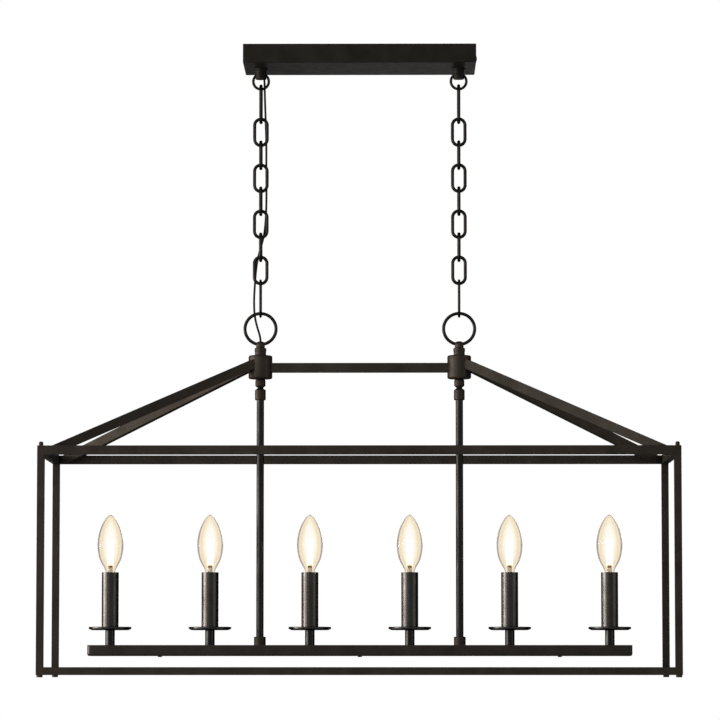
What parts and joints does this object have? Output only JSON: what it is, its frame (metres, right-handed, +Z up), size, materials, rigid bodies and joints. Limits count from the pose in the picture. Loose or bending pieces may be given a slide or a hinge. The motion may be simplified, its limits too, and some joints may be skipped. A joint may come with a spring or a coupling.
{
  "type": "linear island pendant light",
  "caption": "Long open lantern cage with candle lamps on a tray, hung by chains with rings from a box canopy.",
  "frame": {"origin": "middle of the canopy's top, on the ceiling, at the centre of the two mounting slots", "axes": "+X along the cage, +Y towards its back, +Z up into the ceiling"},
  "size_m": [0.848, 0.243, 0.8496],
  "materials": {
    "canopy_coat": "satin black-bronze powder coat",
    "chain_coat": "satin black-bronze powder coat",
    "cage_coat": "satin black-bronze powder coat",
    "hub_coat": "satin black-bronze powder coat",
    "tray_coat": "satin black-bronze powder coat",
    "candle_coat": "smoother, glossier dark coat",
    "plated_steel": "zinc-plated steel",
    "bulb_glass": "clear, thin",
    "bulb_stem": "clear stem with a warm filament",
    "bulb_base": "polished",
    "lamp_holder": "moulded",
    "wire_nut": "moulded",
    "cord_jacket": "smooth round jacket",
    "wire_jacket": "bundled insulated wires"
  },
  "bodies": {
    "canopy": {"mounting_plate": "plated_steel", "canopy_pan": "canopy_coat", "canopy_side_screws": "canopy_coat", "ground_screw": "plated_steel", "wire_nuts": "wire_nut", "canopy_locknuts": "plated_steel", "left_canopy_loop": "canopy_coat", "right_canopy_loop": "canopy_coat", "left_canopy_collar": "canopy_coat", "right_canopy_collar": "canopy_coat"},
    "left_top_link": {"left_top_link": "chain_coat"},
    "left_chain": {"left_chain_links": "chain_coat", "left_bottom_link": "chain_coat", "power_cord": "cord_jacket"},
    "left_ring": {"left_hanging_ring": "chain_coat"},
    "right_top_link": {"right_top_link": "chain_coat"},
    "right_chain": {"right_chain_links": "chain_coat", "right_bottom_link": "chain_coat"},
    "right_ring": {"right_hanging_ring": "chain_coat"},
    "cage": {"bottom_end_rails": "cage_coat", "bottom_side_rails": "cage_coat", "bulb_1_glass": "bulb_glass", "bulb_2_glass": "bulb_glass", "bulb_3_glass": "bulb_glass", "bulb_4_glass": "bulb_glass", "bulb_5_glass": "bulb_glass", "bulb_6_glass": "bulb_glass", "bulb_bases": "bulb_base", "bulb_filaments": "bulb_stem", "candle_sleeves": "candle_coat", "candle_stems": "candle_coat", "corner_caps": "cage_coat", "corner_feet": "cage_coat", "corner_posts": "cage_coat", "drip_cups": "candle_coat", "lamp_holders": "lamp_holder", "left_front_hip": "cage_coat", "left_hub": "hub_coat", "left_hub_eye": "hub_coat", "left_rear_hip": "cage_coat", "left_rod": "cage_coat", "left_rod_collar": "hub_coat", "left_rod_coupling": "hub_coat", "ridge_tube": "cage_coat", "right_front_hip": "cage_coat", "right_hub": "hub_coat", "right_hub_eye": "hub_coat", "right_rear_hip": "cage_coat", "right_rod": "cage_coat", "right_rod_collar": "hub_coat", "right_rod_coupling": "hub_coat", "top_end_rails": "cage_coat", "top_side_rails": "cage_coat", "tray_bosses": "tray_coat", "tray_cover": "tray_coat", "tray_ends": "tray_coat", "tray_front_wall": "tray_coat", "tray_locknuts": "plated_steel", "tray_rear_wall": "tray_coat", "tray_screws": "tray_coat", "tray_top": "tray_coat", "tray_wiring": "wire_jacket"}
  },
  "joints": [
    {"name": "left_loop_swing", "type": "hinge", "parent": "canopy", "child": "left_top_link", "pos_m": [-0.1342, 0, -0.0534], "axis": [1, 0, 0], "range_deg": [-45, 45]},
    {"name": "right_loop_swing", "type": "hinge", "parent": "canopy", "child": "right_top_link", "pos_m": [0.1342, 0, -0.0534], "axis": [1, 0, 0], "range_deg": [-45, 45]},
    {"name": "left_chain_sway", "type": "hinge", "parent": "left_top_link", "child": "left_chain", "pos_m": [-0.1342, 0, -0.09905], "axis": [0, 1, 0], "range_deg": [-30, 30], "deforming": ["power_cord"]},
    {"name": "right_chain_sway", "type": "hinge", "parent": "right_top_link", "child": "right_chain", "pos_m": [0.1342, 0, -0.09905], "axis": [0, 1, 0], "range_deg": [-30, 30]},
    {"name": "left_ring_tilt", "type": "hinge", "parent": "left_chain", "child": "left_ring", "pos_m": [-0.1342, 0, -0.36365], "axis": [0, 1, 0], "range_deg": [-30, 30]},
    {"name": "right_ring_tilt", "type": "hinge", "parent": "right_chain", "child": "right_ring", "pos_m": [0.1342, 0, -0.36365], "axis": [0, 1, 0], "range_deg": [-30, 30]},
    {"name": "cage_swing", "type": "hinge", "parent": "left_ring", "child": "cage", "pos_m": [-0.1342, 0, -0.40145], "axis": [1, 0, 0], "range_deg": [-45, 45]}
  ],
  "couplings": [
    {"joint": "right_loop_swing", "follows": "left_loop_swing", "ratio": 1},
    {"joint": "right_chain_sway", "follows": "left_chain_sway", "ratio": 1},
    {"joint": "left_ring_tilt", "follows": "left_chain_sway", "ratio": -1},
    {"joint": "right_ring_tilt", "follows": "left_chain_sway", "ratio": -1}
  ]
}
